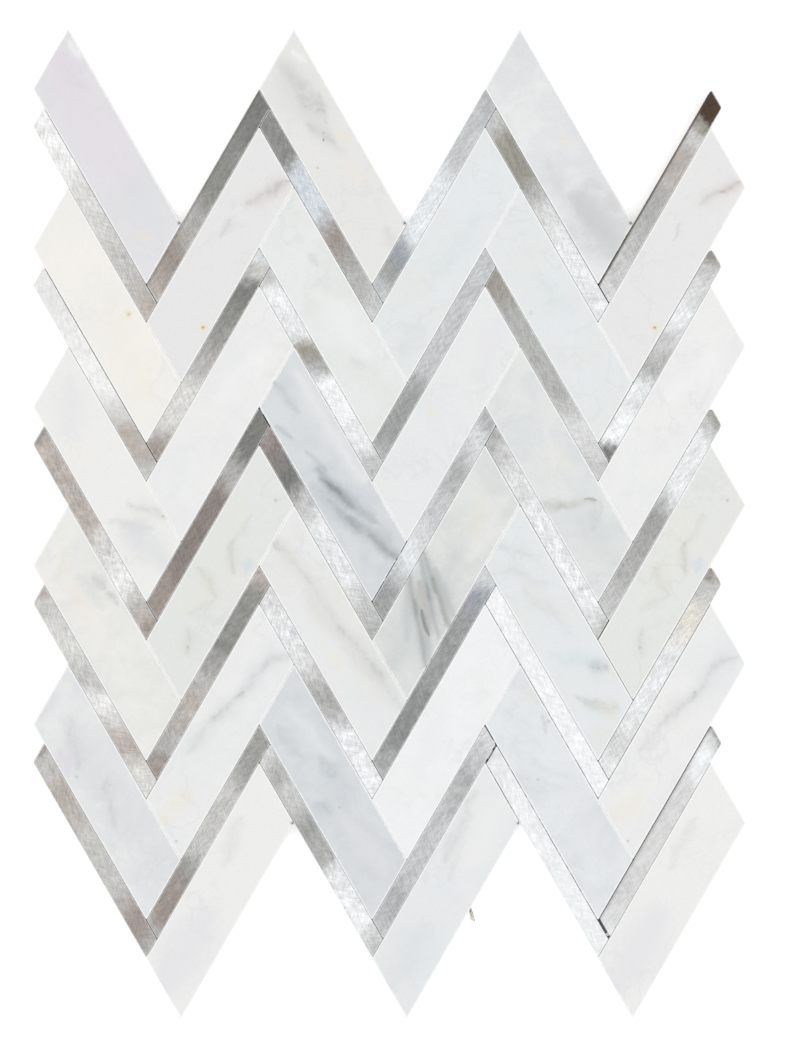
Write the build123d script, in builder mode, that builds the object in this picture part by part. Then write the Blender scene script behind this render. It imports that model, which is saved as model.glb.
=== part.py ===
# A mesh-mounted herringbone mosaic sheet of marble chips and aluminium strips, lying face up.
# Every piece is a rhomboid bar. Its ends are cut parallel to the bars of the next column, so the
# columns of bars, falling and rising in turn, lock into each other with no filler pieces. An open
# glass net, cut a little inside the edge, holds the sheet together from below.
# X runs across the sheet, Y up the pattern, Z out of the polished face. The origin is the middle
# of the sheet's box, on the underside of the net.
import os
from math import cos, radians, sin

from build123d import *

# Marble chips and aluminium strips, in millimetres
piece_length = 94.5  # long side of a chip and of a strip
chip_width = 25.0  # square across the long side
chip_thickness = 8.0
chip_tip_flat = 0.6  # what each side loses where a chip's sharp corner is nipped off
chip_side_flat = 0.3  # the same at its blunt corners
chip_arris = 0.3  # small bevel round the polished face
strip_width = 7.6
strip_thickness = 8.0
strip_corner_radius = 0.5  # the blunt corners of a strip are filed round
strip_outer_radius = 2.2  # and rounder where the corner is at the side of the sheet
strip_arris = 0.2
joint = 0.4  # gap between neighbours, square across it
lean = 30.0  # degrees between a piece and the vertical, falling or rising

# Extent of the sheet
column_pairs = 3  # each pair is a falling column and the rising column beside it
courses = 5  # a course is a chip and a strip, counted down a column

# Glass net
net_pitch = 5.0
net_margin = 3.0  # from the edge of the sheet to the cut edge of the net
warp_width = 0.9  # yarns up the sheet
warp_thickness = 0.25
weft_width = 1.2  # yarns across the sheet, between the warp and the stone
weft_thickness = 0.25
shortest_yarn = 3.0  # shorter stubs fall out when the net is cut

# The pattern lies on two families of slanting lines: u is measured down to the right, along the
# falling pieces, and w down to the left, along the rising ones.
lean_sine = sin(radians(lean))
lean_cosine = cos(radians(lean))
end_sine = sin(radians(2 * lean))  # of the angle between a piece's long side and its end
length_pitch = piece_length + joint / end_sine
chip_pitch = (chip_width + joint) / end_sine
strip_pitch = (strip_width + joint) / end_sine
course_pitch = chip_pitch + strip_pitch
half_joint = joint / 2 / end_sine  # along u or w
pattern_depth = courses * course_pitch

# The sheet's box, before half a joint comes off each side
sheet_width = (2 * column_pairs * length_pitch + chip_pitch) * lean_sine
sheet_height = (length_pitch + 2 * pattern_depth) * lean_cosine
apex_x = chip_pitch * lean_sine - sheet_width / 2  # top of the first chip
apex_y = sheet_height / 2

bed = Plane.XY.offset(warp_thickness + weft_thickness)  # the backs of the pieces lie here


def point(u, w):
    """The place in plan where line u crosses line w."""
    return (apex_x + (u - w) * lean_sine, apex_y - (u + w) * lean_cosine)


def rhomboid(u, w, u_size, w_size):
    """The plan of a piece that fills the cell from (u, w), less half a joint on every side."""
    u_near, u_far = u + half_joint, u + u_size - half_joint
    w_near, w_far = w + half_joint, w + w_size - half_joint
    corners = (u_near, w_near), (u_far, w_near), (u_far, w_far), (u_near, w_far)
    with BuildSketch() as plan:
        with BuildLine():
            Polyline(*[point(*corner) for corner in corners], close=True)
        make_face()
    return plan.sketch


def end_corners(plan, axis):
    """The first and last corner along an axis: the blunt pair on X, the sharp pair on Y."""
    corners = plan.vertices().sort_by(axis)
    return [corners[0], corners[-1]]


def marble_chip(cell):
    """One stone chip: a sawn rhomboid with its polished face eased all round."""
    with BuildPart() as chip:
        with BuildSketch(bed) as plan:
            add(rhomboid(*cell))
            chamfer(end_corners(plan, Axis.X), length=chip_side_flat)
            chamfer(end_corners(plan, Axis.Y), length=chip_tip_flat)
        extrude(amount=chip_thickness)
        chamfer(chip.faces().sort_by(Axis.Z)[-1].edges(), length=chip_arris)
    return chip


def strip_plan(cell, left_radius, right_radius):
    """The plan of one strip, with its blunt corners filed round."""
    with BuildSketch() as plan:
        add(rhomboid(*cell))
        fillet(end_corners(plan, Axis.X)[0], radius=left_radius)
        fillet(end_corners(plan, Axis.X)[-1], radius=right_radius)
    return plan.sketch


def aluminium_strips(cells, left_radius, right_radius):
    """The separate strips of one column, each sawn from flat bar to the chips' end angle."""
    with BuildPart() as strips:
        with BuildSketch(bed):
            for cell in cells:
                add(strip_plan(cell, left_radius, right_radius))
        extrude(amount=strip_thickness)
        chamfer(strips.faces().group_by(Axis.Z)[-1].edges(), length=strip_arris)
    return strips


def column_cells(column):
    """The (u, w, u_size, w_size) cells of a column's chips and strips, from the top down."""
    across = column // 2 * length_pitch
    chips, strips = [], []
    for course in range(courses):
        down = course * course_pitch
        if column % 2 == 0:
            u, w = down + across, down - across
            chips.append((u, w, length_pitch, chip_pitch))
            strips.append((u + strip_pitch, w + chip_pitch, length_pitch, strip_pitch))
        else:
            u, w = down + across + length_pitch, down - across - length_pitch
            strips.append((u, w + chip_pitch, strip_pitch, length_pitch))
            chips.append((u + strip_pitch, w + course_pitch, chip_pitch, length_pitch))
    return chips, strips


def net_outline():
    """The plan of the net: toothed above and below like the sheet, and straight at the sides."""
    points = []
    for pair in range(column_pairs):
        across = pair * length_pitch
        points.append(point(across, -across))
        points.append(point(across + length_pitch, -across))
    right = column_pairs * length_pitch
    points.append(point(right, chip_pitch - right))
    points.append(point(right + pattern_depth, pattern_depth + chip_pitch - right))
    for pair in reversed(range(column_pairs)):
        across = pair * length_pitch
        points.append(point(across + length_pitch + pattern_depth, pattern_depth - across))
        points.append(point(across + pattern_depth, pattern_depth - across))
    with BuildSketch() as outline:
        with BuildLine():
            Polyline(*points, close=True)
        make_face()
        offset(amount=-net_margin, kind=Kind.INTERSECTION)
    return outline.sketch


def yarn_count(extent):
    """An odd number of yarns, so that the middle one runs through the origin."""
    return 2 * int(extent / 2 / net_pitch) + 1


def whole_yarns(plan, width):
    """The yarns of a cut net that are long enough to stay in it."""
    return [face for face in plan.sketch.faces() if face.area > shortest_yarn * width]


os.makedirs("parts", exist_ok=True)

# Columns are lettered from the left and pieces numbered from the top. Each chip is a node of its
# own, and the strips of a column, which don't touch each other, share one. Only the first and the
# last column's strips have an end at the side of the sheet.
last_column = 2 * column_pairs - 1
for column in range(2 * column_pairs):
    letter = chr(ord("a") + column)
    left_radius = strip_outer_radius if column == 0 else strip_corner_radius
    right_radius = strip_outer_radius if column == last_column else strip_corner_radius
    chip_cells, strip_cells = column_cells(column)
    for number, chip_cell in enumerate(chip_cells, start=1):
        chip = marble_chip(chip_cell)
        chip.part.label = f"marble_chip_{letter}{number}"
        export_step(chip.part, f"parts/{chip.part.label}.step")
    strips = aluminium_strips(strip_cells, left_radius, right_radius)
    strips.part.label = f"aluminium_strips_{letter}"
    export_step(strips.part, f"parts/{strips.part.label}.step")

# Warp yarns run up the sheet and are the lowest thing in it
outline = net_outline()
with BuildPart() as warp:
    with BuildSketch() as warp_plan:
        with GridLocations(net_pitch, 0, yarn_count(sheet_width), 1):
            Rectangle(warp_width, sheet_height)
        add(outline, mode=Mode.INTERSECT)
    extrude(to_extrude=whole_yarns(warp_plan, warp_width), amount=warp_thickness)
warp.part.label = "mesh_warp_yarns"
export_step(warp.part, "parts/mesh_warp_yarns.step")

# Weft yarns run across, on top of the warp, and the backs of the pieces lie on them
with BuildPart() as weft:
    with BuildSketch(Plane.XY.offset(warp_thickness)) as weft_plan:
        with GridLocations(0, net_pitch, 1, yarn_count(sheet_height)):
            Rectangle(sheet_width, weft_width)
        add(outline, mode=Mode.INTERSECT)
    extrude(to_extrude=whole_yarns(weft_plan, weft_width), amount=weft_thickness)
weft.part.label = "mesh_weft_yarns"
export_step(weft.part, "parts/mesh_weft_yarns.step")
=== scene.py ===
# %% [markdown]
# # A herringbone mosaic sheet of marble and aluminium
#
# The object is a sheet of thirty marble chips and thirty brushed aluminium strips, held together
# from below by a glass net. A chip is a long rhomboid: its ends are cut parallel to the chips of the
# next column, so falling and rising columns lock into each other. We look straight down on it.
#
# The lesson builds every bar with one Geometry Nodes tree, weaves the net with another, and then
# spends most of its time on two finishes: veined polished marble, and hand-brushed metal.

# %% Load the frame
from math import cos, pi, radians, sin

import bmesh
import bpy
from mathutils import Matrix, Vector


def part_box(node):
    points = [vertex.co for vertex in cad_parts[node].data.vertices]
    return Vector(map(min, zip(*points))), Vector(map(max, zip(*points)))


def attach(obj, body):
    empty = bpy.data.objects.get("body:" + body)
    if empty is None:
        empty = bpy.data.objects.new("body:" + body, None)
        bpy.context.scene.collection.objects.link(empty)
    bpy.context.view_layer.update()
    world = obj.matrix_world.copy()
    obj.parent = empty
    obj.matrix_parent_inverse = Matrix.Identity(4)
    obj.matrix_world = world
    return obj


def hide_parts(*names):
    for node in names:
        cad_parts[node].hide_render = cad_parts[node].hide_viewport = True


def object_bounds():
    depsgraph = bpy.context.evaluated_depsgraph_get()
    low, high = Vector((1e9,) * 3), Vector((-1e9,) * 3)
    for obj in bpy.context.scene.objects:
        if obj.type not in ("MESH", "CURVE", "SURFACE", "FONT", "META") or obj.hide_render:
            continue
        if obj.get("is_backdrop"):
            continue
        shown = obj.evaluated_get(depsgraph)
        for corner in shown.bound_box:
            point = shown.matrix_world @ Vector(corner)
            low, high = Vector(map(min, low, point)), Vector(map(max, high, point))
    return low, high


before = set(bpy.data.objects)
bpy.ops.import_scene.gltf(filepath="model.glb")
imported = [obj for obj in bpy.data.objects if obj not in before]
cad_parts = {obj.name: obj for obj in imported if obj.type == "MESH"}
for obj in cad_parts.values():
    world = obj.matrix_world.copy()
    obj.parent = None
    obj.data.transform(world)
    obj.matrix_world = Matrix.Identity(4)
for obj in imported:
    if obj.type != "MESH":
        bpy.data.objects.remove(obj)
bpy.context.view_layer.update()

# %% [markdown]
# ## The maker's sizes
#
# The frame gives boxes, but a rhomboid's corners are not in its box. So the pattern is set out again
# from the sizes a maker would write on the order, in millimetres, and the result is compared with
# the boxes of the loaded nodes. If the two disagree, the lesson stops here and not in the render.

# %% Sizes in millimetres
PIECE_LENGTH = 94.5
CHIP_WIDTH = 25.0
STRIP_WIDTH = 7.6
THICKNESS = 8.0
BED = 0.5  # the backs of the pieces, on top of the net
JOINT = 0.4
LEAN = radians(30)  # between a piece and the vertical
PAIRS = 3  # of columns, a falling and a rising one
COURSES = 5
MM = 0.001

SIDEWAYS = sin(LEAN)
DOWNWARDS = cos(LEAN)
END_SINE = sin(2 * LEAN)
LENGTH_PITCH = PIECE_LENGTH + JOINT / END_SINE
CHIP_PITCH = (CHIP_WIDTH + JOINT) / END_SINE
STRIP_PITCH = (STRIP_WIDTH + JOINT) / END_SINE
COURSE_PITCH = CHIP_PITCH + STRIP_PITCH
DEPTH = COURSES * COURSE_PITCH
SHEET_WIDTH = (2 * PAIRS * LENGTH_PITCH + CHIP_PITCH) * SIDEWAYS
SHEET_HEIGHT = (LENGTH_PITCH + 2 * DEPTH) * DOWNWARDS
APEX_X = CHIP_PITCH * SIDEWAYS - SHEET_WIDTH / 2
APEX_Y = SHEET_HEIGHT / 2
COLUMNS = "abcdef"


def point(u, w):
    """The place in plan where line u, counted down to the right, crosses line w, down to the left."""
    return APEX_X + (u - w) * SIDEWAYS, APEX_Y - (u + w) * DOWNWARDS


def cells(column):
    """The (u, w, u size, w size) cells of a column's chips and of its strips, from the top down."""
    across = column // 2 * LENGTH_PITCH
    chips, strips = [], []
    for course in range(COURSES):
        down = course * COURSE_PITCH
        if column % 2 == 0:
            u, w = down + across, down - across
            chips.append((u, w, LENGTH_PITCH, CHIP_PITCH))
            strips.append((u + STRIP_PITCH, w + CHIP_PITCH, LENGTH_PITCH, STRIP_PITCH))
        else:
            u, w = down + across + LENGTH_PITCH, down - across - LENGTH_PITCH
            strips.append((u, w + CHIP_PITCH, STRIP_PITCH, LENGTH_PITCH))
            chips.append((u + STRIP_PITCH, w + COURSE_PITCH, CHIP_PITCH, LENGTH_PITCH))
    return chips, strips


def middle(cell):
    """The middle of a cell in plan."""
    u, w, u_size, w_size = cell
    return point(u + u_size / 2, w + w_size / 2)


for column, letter in enumerate(COLUMNS):
    low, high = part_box(f"marble_chip_{letter}1")
    x, y = middle(cells(column)[0][0])
    error = max(abs((low.x + high.x) / 2 / MM - x), abs((low.y + high.y) / 2 / MM - y))
    print(f"chip {letter}1 is at {x:.1f}, {y:.1f} mm, {error:.3f} mm from its node")
    assert error < 0.05, "the sizes above don't describe this sheet"

# %% [markdown]
# ## Helpers for node trees
#
# Shader trees, shader groups and Geometry Nodes trees are all filled the same way: make a node, set
# its properties, and give each input either a value or a link. One function, put, does that, in the
# tree that was started last. It hands back the node's output as a Value, and plain arithmetic on
# Values adds the Math nodes, so that the cells below read as formulas and not as Blender calls.

# %% Values
MEASURES = "DISTANCE", "DOT_PRODUCT", "LENGTH"  # Vector Math gives these on its second output


class Value:
    """A node's output. Arithmetic on it adds a Math node, or a Vector Math node if it is a vector."""

    tree = None  # the one tree that is being filled

    def __init__(self, socket):
        self.socket = socket
        self.is_vector = socket.type in ("VECTOR", "RGBA")

    def __add__(self, other):
        return calc("ADD", self, other)

    def __sub__(self, other):
        return calc("SUBTRACT", self, other)

    def __rsub__(self, other):
        return calc("SUBTRACT", other, self)

    def __mul__(self, other):
        if self.is_vector and not is_vector(other):
            return put("ShaderNodeVectorMath", {0: self, "Scale": other}, operation="SCALE")
        return calc("MULTIPLY", self, other)

    def __truediv__(self, other):
        return calc("DIVIDE", self, other)

    def __rtruediv__(self, other):
        return calc("DIVIDE", other, self)


def is_vector(value):
    return isinstance(value, tuple) or getattr(value, "is_vector", False)


def put(kind, inputs=None, take=0, **settings):
    """Add a node and take an output, several of them, or with None the node itself."""
    node = Value.tree.nodes.new(kind)
    for name, setting in settings.items():
        setattr(node, name, setting)
    for key, given in (inputs or {}).items():
        for value in given if isinstance(given, list) else [given]:
            if isinstance(value, Value):
                Value.tree.links.new(value.socket, node.inputs[key])
            else:
                node.inputs[key].default_value = value
    if take is None:
        return node
    if isinstance(take, tuple):
        return [Value(node.outputs[key]) for key in take]
    return Value(node.outputs[take])


def calc(operation, *values):
    """The result of a Math node, or of a Vector Math node where a vector takes part."""
    kind = "ShaderNodeVectorMath" if any(map(is_vector, values)) else "ShaderNodeMath"
    take = 1 if operation in MEASURES else 0
    return put(kind, dict(enumerate(values)), take, operation=operation)


# %% Common nodes


def combined(x=0.0, y=0.0, z=0.0):
    """A vector from its parts."""
    return put("ShaderNodeCombineXYZ", {0: x, 1: y, 2: z})


def split(vector):
    """The parts of a vector."""
    return put("ShaderNodeSeparateXYZ", {0: vector}, take=(0, 1, 2))


def mapped(value, low, high, to_low=0.0, to_high=1.0, smooth=True):
    """A value moved from one range to another, and kept inside it."""
    inputs = dict(enumerate((value, low, high, to_low, to_high)))
    kind = "SMOOTHSTEP" if smooth else "LINEAR"
    return put("ShaderNodeMapRange", inputs, interpolation_type=kind)


def mixed(factor, first, second):
    """Two colours mixed by a factor."""
    return put("ShaderNodeMix", {0: factor, 6: first, 7: second}, take=2, data_type="RGBA")


def noise(vector, scale, detail=2.0, roughness=0.5, take=0):
    """A noise texture, from zero to one."""
    inputs = {"Vector": vector, "Scale": scale, "Detail": detail, "Roughness": roughness}
    return put("ShaderNodeTexNoise", inputs, take)


def jitter(vector, scale, detail=2.0, roughness=0.5):
    """A noise that is a vector, around zero: the three channels of the texture's colour."""
    return noise(vector, scale, detail, roughness, take=1) - (0.5, 0.5, 0.5)


# %% [markdown]
# A node group is written as a function too. The line above it names the group and its sockets. The
# function gets the group's inputs by name and returns its outputs, and from then on its name stands
# for the finished group. A default's kind says what sort of socket it is: three numbers make a
# vector, four a colour, and a word names the sort itself.

# %% Groups
ORIGIN = (0.0, 0.0, 0.0)
WHITE = (1.0, 1.0, 1.0, 1.0)


def group(title, inputs, outputs, kind="ShaderNodeTree"):
    """Make a node group of the function below."""

    def build(body):
        Value.tree = tree = bpy.data.node_groups.new(title, kind)
        for name, default in inputs.items():
            sort = {int: "Int", float: "Float", tuple: "Vector", str: default}[type(default)]
            if default == WHITE:
                sort = "Color"
            socket = tree.interface.new_socket(name, in_out="INPUT", socket_type=f"NodeSocket{sort}")
            if not isinstance(default, str):
                socket.default_value = default
        for name, sort in outputs.items():
            tree.interface.new_socket(name, in_out="OUTPUT", socket_type=f"NodeSocket{sort}")
        given = tree.nodes.new("NodeGroupInput").outputs
        made = body({name: Value(given[name]) for name in inputs})
        ends = tree.nodes.new("NodeGroupOutput").inputs
        for name, value in zip(outputs, made):
            tree.links.new(value.socket, ends[name])
        return tree

    return build


def use(shared, inputs):
    """Place a shader group and take its outputs by name."""
    node = put("ShaderNodeGroup", inputs, take=None, node_tree=shared)
    return {socket.name: Value(socket) for socket in node.outputs}


def moved(geometry, offset, selection=True):
    """A geometry whose selected points are moved."""
    inputs = {"Geometry": geometry, "Selection": selection, "Offset": offset}
    return put("GeometryNodeSetPosition", inputs)


def extruded(mesh, inputs):
    """A mesh with its selected faces extruded together, and the faces that end on top."""
    return put("GeometryNodeExtrudeMesh", {"Mesh": mesh, "Individual": False, **inputs}, ("Mesh", "Top"))


def delivered(geometry, material):
    """The end of each Geometry Nodes tree: metres, one real mesh and its material."""
    metres = put("GeometryNodeTransform", {"Geometry": geometry, "Scale": (MM, MM, MM)})
    real = put("GeometryNodeRealizeInstances", {"Geometry": metres})
    return put("GeometryNodeSetMaterial", {"Geometry": real, "Material": material})


def add_object(name, data):
    """An object at the origin, linked to the scene."""
    obj = bpy.data.objects.new(name, data)
    bpy.context.scene.collection.objects.link(obj)
    return obj


def grow(name, tree, values, base=None):
    """Run a Geometry Nodes tree on a mesh and keep the result as a plain mesh object."""
    obj = add_object(name, base or bpy.data.meshes.new(name + "_seed"))
    modifier = obj.modifiers.new("grow", "NODES")
    modifier.node_group = tree
    sockets = {item.name: item.identifier for item in tree.interface.items_tree if item.in_out == "INPUT"}
    for title, value in values.items():
        modifier[sockets[title]] = value
    bpy.context.view_layer.update()
    made = bpy.data.meshes.new_from_object(obj.evaluated_get(bpy.context.evaluated_depsgraph_get()))
    obj.modifiers.remove(modifier)
    seed, obj.data = obj.data, made
    made.name = name
    bpy.data.meshes.remove(seed)
    return obj


def triangle_count(*objects):
    """How many triangles some finished objects have."""
    return sum(len(face.vertices) - 2 for obj in objects for face in obj.data.polygons)


# %% [markdown]
# ## The shape of a bar
#
# A chip is sawn from polished slab and a strip from flat bar, both to a rhomboid. The top edge of
# each, its arris, is eased, and in stone it also loses small flakes where the saw leaves the cut.
# The shape follows a rule, so it is a tree: four corners make a curve, Fillet Curve rounds them with
# a radius of its own for each corner, the long runs are divided so that flakes have something to
# move, Fill Curve gives the plan and Extrude Mesh the height. The arris is three more small
# extrusions, each moved inwards along a direction that was stored on the first wall.
#
# The plan is laid out in millimetres and scaled to metres at the end.

# %% The bar tree
CORNERS = "Top", "Left", "Bottom", "Right"
ARRIS_STEPS = 3
BAR_INPUTS = {
    **{f"{corner} corner": ORIGIN for corner in CORNERS},
    **{f"{corner} radius": 1.0 for corner in CORNERS},
    "Bed": BED, "Thickness": THICKNESS, "Arris": 0.3, "Spacing": 0.8, "Wobble": 0.05,
    "Flake size": 0.3, "Flake share": 0.3, "Seed": 0.0, "Material": "Material",
}


@group("Rhomboid bar", BAR_INPUTS, {"Mesh": "Geometry"}, "GeometryNodeTree")
def bar_tree(g):
    """A rhomboid bar with its own corner radii, an eased arris, and flakes off that arris."""
    places = {f"Point {number}": g[f"{corner} corner"] for number, corner in enumerate(CORNERS, start=1)}
    plan = put("GeometryNodeCurvePrimitiveQuadrilateral", places, mode="POINTS")
    index = put("GeometryNodeInputIndex")
    radius = put("GeometryNodeIndexSwitch", take=None, data_type="FLOAT")
    while len(radius.index_switch_items) < len(CORNERS):
        radius.index_switch_items.new()
    chosen = [index] + [g[f"{corner} radius"] for corner in CORNERS]
    for value, socket in zip(chosen, radius.inputs):
        Value.tree.links.new(value.socket, socket)
    fillet = {"Curve": plan, "Count": 4, "Radius": Value(radius.outputs[0]), "Limit Radius": True}
    rounded = put("GeometryNodeFilletCurve", fillet, mode="POLY")

    position = put("GeometryNodeInputPosition")
    following = calc("MODULO", index + 1.0, put("GeometryNodeSplineLength", take="Point Count"))
    lookup = {"Value": position, "Index": following}
    ahead = put("GeometryNodeFieldAtIndex", lookup, data_type="FLOAT_VECTOR")
    cuts = calc("FLOOR", calc("DISTANCE", position, ahead) / g["Spacing"])
    divided = put("GeometryNodeSubdivideCurve", {"Curve": rounded, "Cuts": cuts})
    sheet = put("GeometryNodeFillCurve", {"Curve": divided}, mode="NGONS")

    # A saw never runs quite straight
    seeded = position + combined(g["Seed"], g["Seed"] * 1.7)
    drift = jitter(seeded, 0.035, 1.0) * (1, 1, 0) * (g["Wobble"] * 2.0)
    lifted = drift + combined(z=g["Bed"])
    base = moved(sheet, lifted)

    wall, top = extruded(base, {"Offset": combined(z=g["Thickness"] - g["Arris"])})
    outward = calc("NORMALIZE", put("GeometryNodeInputNormal") * (1, 1, 0))
    solid = put(
        "GeometryNodeStoreNamedAttribute", {"Geometry": wall, "Name": "outward", "Value": outward},
        data_type="FLOAT_VECTOR", domain="POINT")
    stored = put("GeometryNodeInputNamedAttribute", {"Name": "outward"}, data_type="FLOAT_VECTOR")

    # Flakes: where a fine noise is high, the arris lies a little further in and lower
    flake = mapped(noise(seeded, 0.45, 3.0, 0.65), 0.9 - g["Flake share"], 0.95) * g["Flake size"]
    solid = moved(solid, combined(z=flake * -0.5), top)
    for step in range(1, ARRIS_STEPS + 1):
        before, after = (pi / 2 * number / ARRIS_STEPS for number in (step - 1, step))
        solid, top = extruded(solid, {"Selection": top, "Offset Scale": 0.0})
        inset = g["Arris"] * (cos(before) - cos(after)) + flake * (1.0 / ARRIS_STEPS)
        rise = g["Arris"] * (sin(after) - sin(before)) + flake * (0.5 / ARRIS_STEPS)
        solid = moved(solid, stored * (inset * -1.0) + combined(z=rise), top)

    back = put("GeometryNodeFlipFaces", {"Mesh": base})
    both = put("GeometryNodeJoinGeometry", {0: [solid, back]})
    closed = put("GeometryNodeMergeByDistance", {"Geometry": both, "Distance": 0.002})
    clean = put("GeometryNodeRemoveAttribute", {"Geometry": closed, "Name": "outward"})
    return [delivered(clean, g["Material"])]


print("the bar tree has", len(bar_tree.nodes), "nodes")

# %% [markdown]
# ## Tones, and where a bar lies
#
# Tones are written as they should look on a screen, from 0 to 255, and turned into the linear values
# that shaders use. Every bar gets coordinates of its own from a Mapping node of the Texture type,
# which undoes a move and a turn: x runs down the bar from its middle, y across it to the right, both
# in millimetres. Marks and scratches are then placed as a maker would point at them on the piece.

# %% Tones and bar coordinates


def tone(*levels):
    """A screen tone as a linear colour."""
    linear = []
    for value in (level / 255 for level in levels):
        linear.append(value / 12.92 if value <= 0.04045 else ((value + 0.055) / 1.055) ** 2.4)
    return (*linear, 1.0)


def bar_coordinates(column, cell):
    """Millimetres down and across a bar, from its middle."""
    x, y = middle(cell)
    inputs = {
        "Vector": put("ShaderNodeTexCoord", take="Object"),
        "Location": (x * MM, y * MM, BED * MM),
        "Rotation": (0, 0, (-LEAN if column % 2 else LEAN) - radians(90)),
        "Scale": (MM, MM, MM),
    }
    return put("ShaderNodeMapping", inputs, vector_type="TEXTURE")


def millimetres():
    """Millimetres on the sheet, for what isn't a bar."""
    return put("ShaderNodeTexCoord", take="Object") * 1000.0


# %% [markdown]
# Every material starts empty and ends the same way: a colour, a roughness and the height of a bump
# go into one Principled shader.

# %% Start and end of a material


def new_material(name):
    """A material with an empty tree, which is the one to fill from now on."""
    material = bpy.data.materials.new(name)
    material.use_nodes = True
    Value.tree = material.node_tree
    Value.tree.nodes.clear()
    return material


def surface(color, roughness, height=None, strength=0.5, relief=0.1, **plain):
    """The shader and the output. The relief is the height of the bump in millimetres."""
    inputs = {"Base Color": color, "Roughness": roughness, **plain}
    if height:
        bump = {"Strength": strength, "Distance": relief * MM, "Height": height}
        inputs["Normal"] = put("ShaderNodeBump", bump)
    shader = put("ShaderNodeBsdfPrincipled", inputs)
    put("ShaderNodeOutputMaterial", {"Surface": shader}, take=None)


# %% [markdown]
# ## Shared effects, as shader groups
#
# Each effect that both finishes or many pieces use is a group with named inputs, built once. The
# first measures how far a point of a bar is from its nearest side. The ends are cut at sixty
# degrees, to the left in one column and to the right in the next, so the group has a slant, +1 or -1.

# %% Group: distance from the sides
SIDES_INPUTS = {"Vector": ORIGIN, "Half length": 40.0, "Half width": 12.0, "Slant": 1.0}


@group("Distance from the sides", SIDES_INPUTS, {"Distance": "Float"})
def sides_group(g):
    x, y, _ = split(g["Vector"])
    from_long = g["Half width"] - calc("ABSOLUTE", y)
    across_end = x * END_SINE + y * cos(2 * LEAN) * g["Slant"]
    from_end = g["Half length"] * END_SINE - calc("ABSOLUTE", across_end)
    return [calc("MINIMUM", from_long, from_end)]


# %% [markdown]
# The ground of the stone is a warped cloud of two tones, with a faint crystal grain on top. Real
# marble is a mass of calcite grains about half a millimetre across, which show as the slightest
# sparkle. A seed moves the clouds, so no two chips are alike.

# %% Group: stone ground
GROUND_INPUTS = {
    "Vector": ORIGIN, "Seed": 0.0, "Tone": WHITE, "Cloud tone": WHITE,
    "Clouds": 0.5, "Cloud size": 20.0, "Threads": 0.1,
}
THREAD_TONE = (0.55, 0.57, 0.57, 1.0)


@group("Stone ground", GROUND_INPUTS, {"Color": "Color", "Grain": "Float"})
def ground_group(g):
    seeded = g["Vector"] + combined(g["Seed"], g["Seed"] * 2.3, g["Seed"])
    fineness = 1.0 / g["Cloud size"]
    warped = seeded + jitter(seeded, fineness) * 22.0
    clouds = mapped(noise(warped, fineness, 5.0, 0.58), 0.38, 0.68)
    wisps = mapped(noise(warped, fineness * 4.0, 3.0, 0.6), 0.4, 0.75)
    color = mixed((clouds + wisps * 0.22) * g["Clouds"], g["Tone"], g["Cloud tone"])
    ridge = calc("ABSOLUTE", noise(warped, 0.045, 4.0, 0.6) - 0.5)
    thread = mapped(ridge, 0.035, 0.0) * mapped(noise(seeded, 0.03, 1.0), 0.45, 0.65)
    color = mixed(thread * g["Threads"], color, THREAD_TONE)
    grains = put("ShaderNodeTexVoronoi", {"Vector": seeded, "Scale": 1.6}, take="Color")
    sparkle = put("ShaderNodeSeparateColor", {0: grains})
    grain = sparkle * 0.4 + noise(seeded, 2.2, 3.0, 0.7) * 0.6
    return color * mapped(grain, 0.2, 0.8, 0.978, 1.022, smooth=False), grain


# %% [markdown]
# A vein, a smudge and a spot are all one thing at different sizes: a stroke from one point to
# another, thick in the middle and fading outwards. What makes a stroke look like stone is that the
# whole slab was folded and crushed while it formed. So one group bends the coordinates of a chip and
# gives a speckle, and every stroke on the chip is drawn in those bent coordinates and broken up by
# that speckle. Sharing the two also keeps the material quick.
#
# A stroke goes straight down through the stone, so the sawn sides show where it leaves the chip.

# %% Groups: stone folds and stone mark
IN_PLAN = (1.0, 1.0, 0.0)


@group("Stone folds", {"Vector": ORIGIN, "Seed": 0.0}, {"Bend": "Vector", "Speckle": "Float"})
def folds_group(g):
    seeded = g["Vector"] * IN_PLAN + combined(z=g["Seed"])
    slow = jitter(seeded, 0.08) * (8.0, 8.0, 0.0)
    fast = jitter(seeded, 0.33, 3.0, 0.6) * (1.5, 1.5, 0.0)
    return slow + fast, noise(seeded, 0.42, 4.0, 0.68)


MARK_INPUTS = {
    "Color": WHITE, "Vector": ORIGIN, "Bend": ORIGIN, "Speckle": 0.5, "From": ORIGIN, "To": ORIGIN,
    "Width": 2.0, "Wander": 1.0, "Broken": 0.5, "Mark color": WHITE, "Strength": 0.5,
}


@group("Stone mark", MARK_INPUTS, {"Color": "Color"})
def mark_group(g):
    stroke = g["To"] - g["From"]
    reach = g["Vector"] * IN_PLAN + g["Bend"] * g["Wander"] - g["From"]
    squared = calc("MAXIMUM", calc("DOT_PRODUCT", stroke, stroke), 0.01)
    share = put("ShaderNodeClamp", {0: calc("DOT_PRODUCT", reach, stroke) / squared})
    distance = calc("DISTANCE", reach, stroke * share)
    centred = share * 2.0 - 1.0
    taper = 1.0 - centred * centred * 0.5
    uneven = mapped(g["Speckle"], 0.3, 0.7, 1.3, 0.7, smooth=False)
    out = distance / (g["Width"] * taper * uneven)
    body = calc("EXPONENT", out * out * -1.2)
    breaks = 1.0 - g["Broken"] + mapped(g["Speckle"], 0.38, 0.62) * g["Broken"]
    return [mixed(body * breaks * g["Strength"], g["Color"], g["Mark color"])]


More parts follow.
